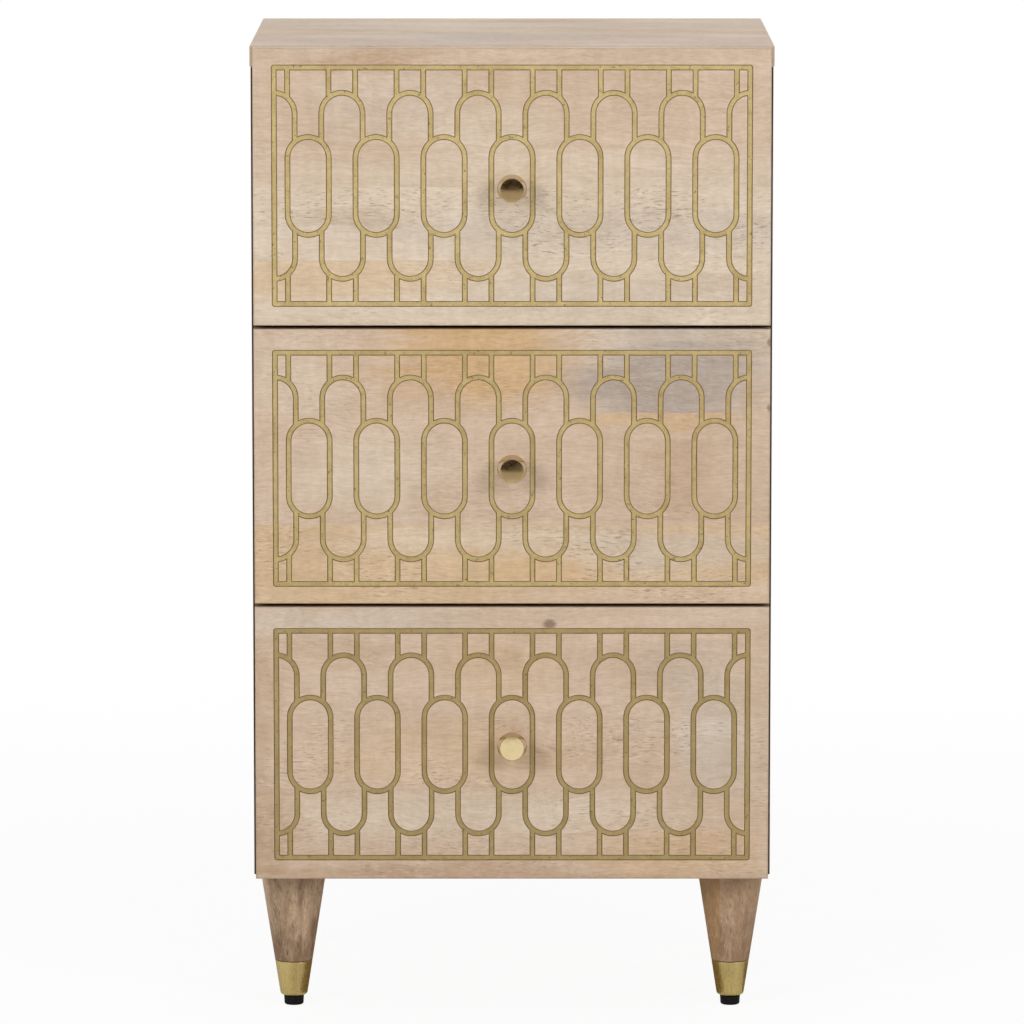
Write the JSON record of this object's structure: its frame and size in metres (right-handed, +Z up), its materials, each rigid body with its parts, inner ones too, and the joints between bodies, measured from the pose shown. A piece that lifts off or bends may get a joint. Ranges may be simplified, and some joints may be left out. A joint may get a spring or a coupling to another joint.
{
  "type": "chest of drawers",
  "caption": "Narrow upright chest of drawers in whitewashed wood, with carved gilded lattice fronts, turned brass knobs and tapered legs in brass ferrules with levelling glides.",
  "frame": {"origin": "on the floor under the middle of the box that holds the chest and its knobs", "axes": "+Z up, the drawers open towards -Y, +X to the right of someone facing the drawers"},
  "size_m": [0.4, 0.355, 0.75],
  "materials": {
    "whitewashed_wood": "whitewashed mango, matt, with gold paint in the carved grooves of the fronts",
    "leg_wood": "whitewashed mango, browner than the body, matt",
    "plain_wood": "sanded, matt",
    "plywood": "sanded plywood",
    "brass": "polished",
    "black_plastic": "matt black",
    "zinc_steel": "zinc plated"
  },
  "bodies": {
    "carcass": {"top_panel": "whitewashed_wood", "left_side_panel": "whitewashed_wood", "right_side_panel": "whitewashed_wood", "bottom_panel": "plain_wood", "back_panel": "plywood", "upper_divider_rail": "plain_wood", "lower_divider_rail": "plain_wood", "carcass_dowels": "plain_wood", "back_panel_screws": "zinc_steel", "cabinet_rail_screws": "zinc_steel", "leg_hanger_bolts": "zinc_steel", "leg_tee_nuts": "zinc_steel", "glide_inserts": "zinc_steel", "left_cabinet_rails": "zinc_steel", "right_cabinet_rails": "zinc_steel", "front_left_leg": "leg_wood", "front_left_ferrule": "brass", "front_right_leg": "leg_wood", "front_right_ferrule": "brass", "rear_left_leg": "leg_wood", "rear_left_ferrule": "brass", "rear_right_leg": "leg_wood", "rear_right_ferrule": "brass"},
    "top_drawer": {"top_drawer_front": "whitewashed_wood", "top_drawer_box_front": "plain_wood", "top_drawer_left_side": "plain_wood", "top_drawer_right_side": "plain_wood", "top_drawer_back": "plain_wood", "top_drawer_base": "plywood", "top_drawer_knob": "brass", "top_drawer_screws": "zinc_steel", "top_drawer_rails": "zinc_steel"},
    "top_runner_middle": {"top_drawer_middle_rails": "zinc_steel", "top_drawer_ball_cages": "zinc_steel"},
    "middle_drawer": {"middle_drawer_front": "whitewashed_wood", "middle_drawer_box_front": "plain_wood", "middle_drawer_left_side": "plain_wood", "middle_drawer_right_side": "plain_wood", "middle_drawer_back": "plain_wood", "middle_drawer_base": "plywood", "middle_drawer_knob": "brass", "middle_drawer_screws": "zinc_steel", "middle_drawer_rails": "zinc_steel"},
    "middle_runner_middle": {"middle_drawer_middle_rails": "zinc_steel", "middle_drawer_ball_cages": "zinc_steel"},
    "bottom_drawer": {"bottom_drawer_front": "whitewashed_wood", "bottom_drawer_box_front": "plain_wood", "bottom_drawer_left_side": "plain_wood", "bottom_drawer_right_side": "plain_wood", "bottom_drawer_back": "plain_wood", "bottom_drawer_base": "plywood", "bottom_drawer_knob": "brass", "bottom_drawer_screws": "zinc_steel", "bottom_drawer_rails": "zinc_steel"},
    "bottom_runner_middle": {"bottom_drawer_middle_rails": "zinc_steel", "bottom_drawer_ball_cages": "zinc_steel"},
    "front_left_glide": {"front_left_glide": "black_plastic"},
    "front_right_glide": {"front_right_glide": "black_plastic"},
    "rear_left_glide": {"rear_left_glide": "black_plastic"},
    "rear_right_glide": {"rear_right_glide": "black_plastic"}
  },
  "joints": [
    {"name": "top_drawer_slide", "type": "slide", "parent": "carcass", "child": "top_drawer", "axis": [0, -1, 0], "range_m": [0, 0.25]},
    {"name": "top_runner_slide", "type": "slide", "parent": "carcass", "child": "top_runner_middle", "axis": [0, -1, 0], "range_m": [0, 0.125]},
    {"name": "middle_drawer_slide", "type": "slide", "parent": "carcass", "child": "middle_drawer", "axis": [0, -1, 0], "range_m": [0, 0.25]},
    {"name": "middle_runner_slide", "type": "slide", "parent": "carcass", "child": "middle_runner_middle", "axis": [0, -1, 0], "range_m": [0, 0.125]},
    {"name": "bottom_drawer_slide", "type": "slide", "parent": "carcass", "child": "bottom_drawer", "axis": [0, -1, 0], "range_m": [0, 0.25]},
    {"name": "bottom_runner_slide", "type": "slide", "parent": "carcass", "child": "bottom_runner_middle", "axis": [0, -1, 0], "range_m": [0, 0.125]},
    {"name": "front_left_glide_screw", "type": "slide", "parent": "carcass", "child": "front_left_glide", "axis": [0, 0, -1], "range_m": [0, 0.008]},
    {"name": "front_right_glide_screw", "type": "slide", "parent": "carcass", "child": "front_right_glide", "axis": [0, 0, -1], "range_m": [0, 0.008]},
    {"name": "rear_left_glide_screw", "type": "slide", "parent": "carcass", "child": "rear_left_glide", "axis": [0, 0, -1], "range_m": [0, 0.008]},
    {"name": "rear_right_glide_screw", "type": "slide", "parent": "carcass", "child": "rear_right_glide", "axis": [0, 0, -1], "range_m": [0, 0.008]}
  ],
  "couplings": [
    {"joint": "top_runner_slide", "follows": "top_drawer_slide", "ratio": 0.5},
    {"joint": "middle_runner_slide", "follows": "middle_drawer_slide", "ratio": 0.5},
    {"joint": "bottom_runner_slide", "follows": "bottom_drawer_slide", "ratio": 0.5}
  ]
}
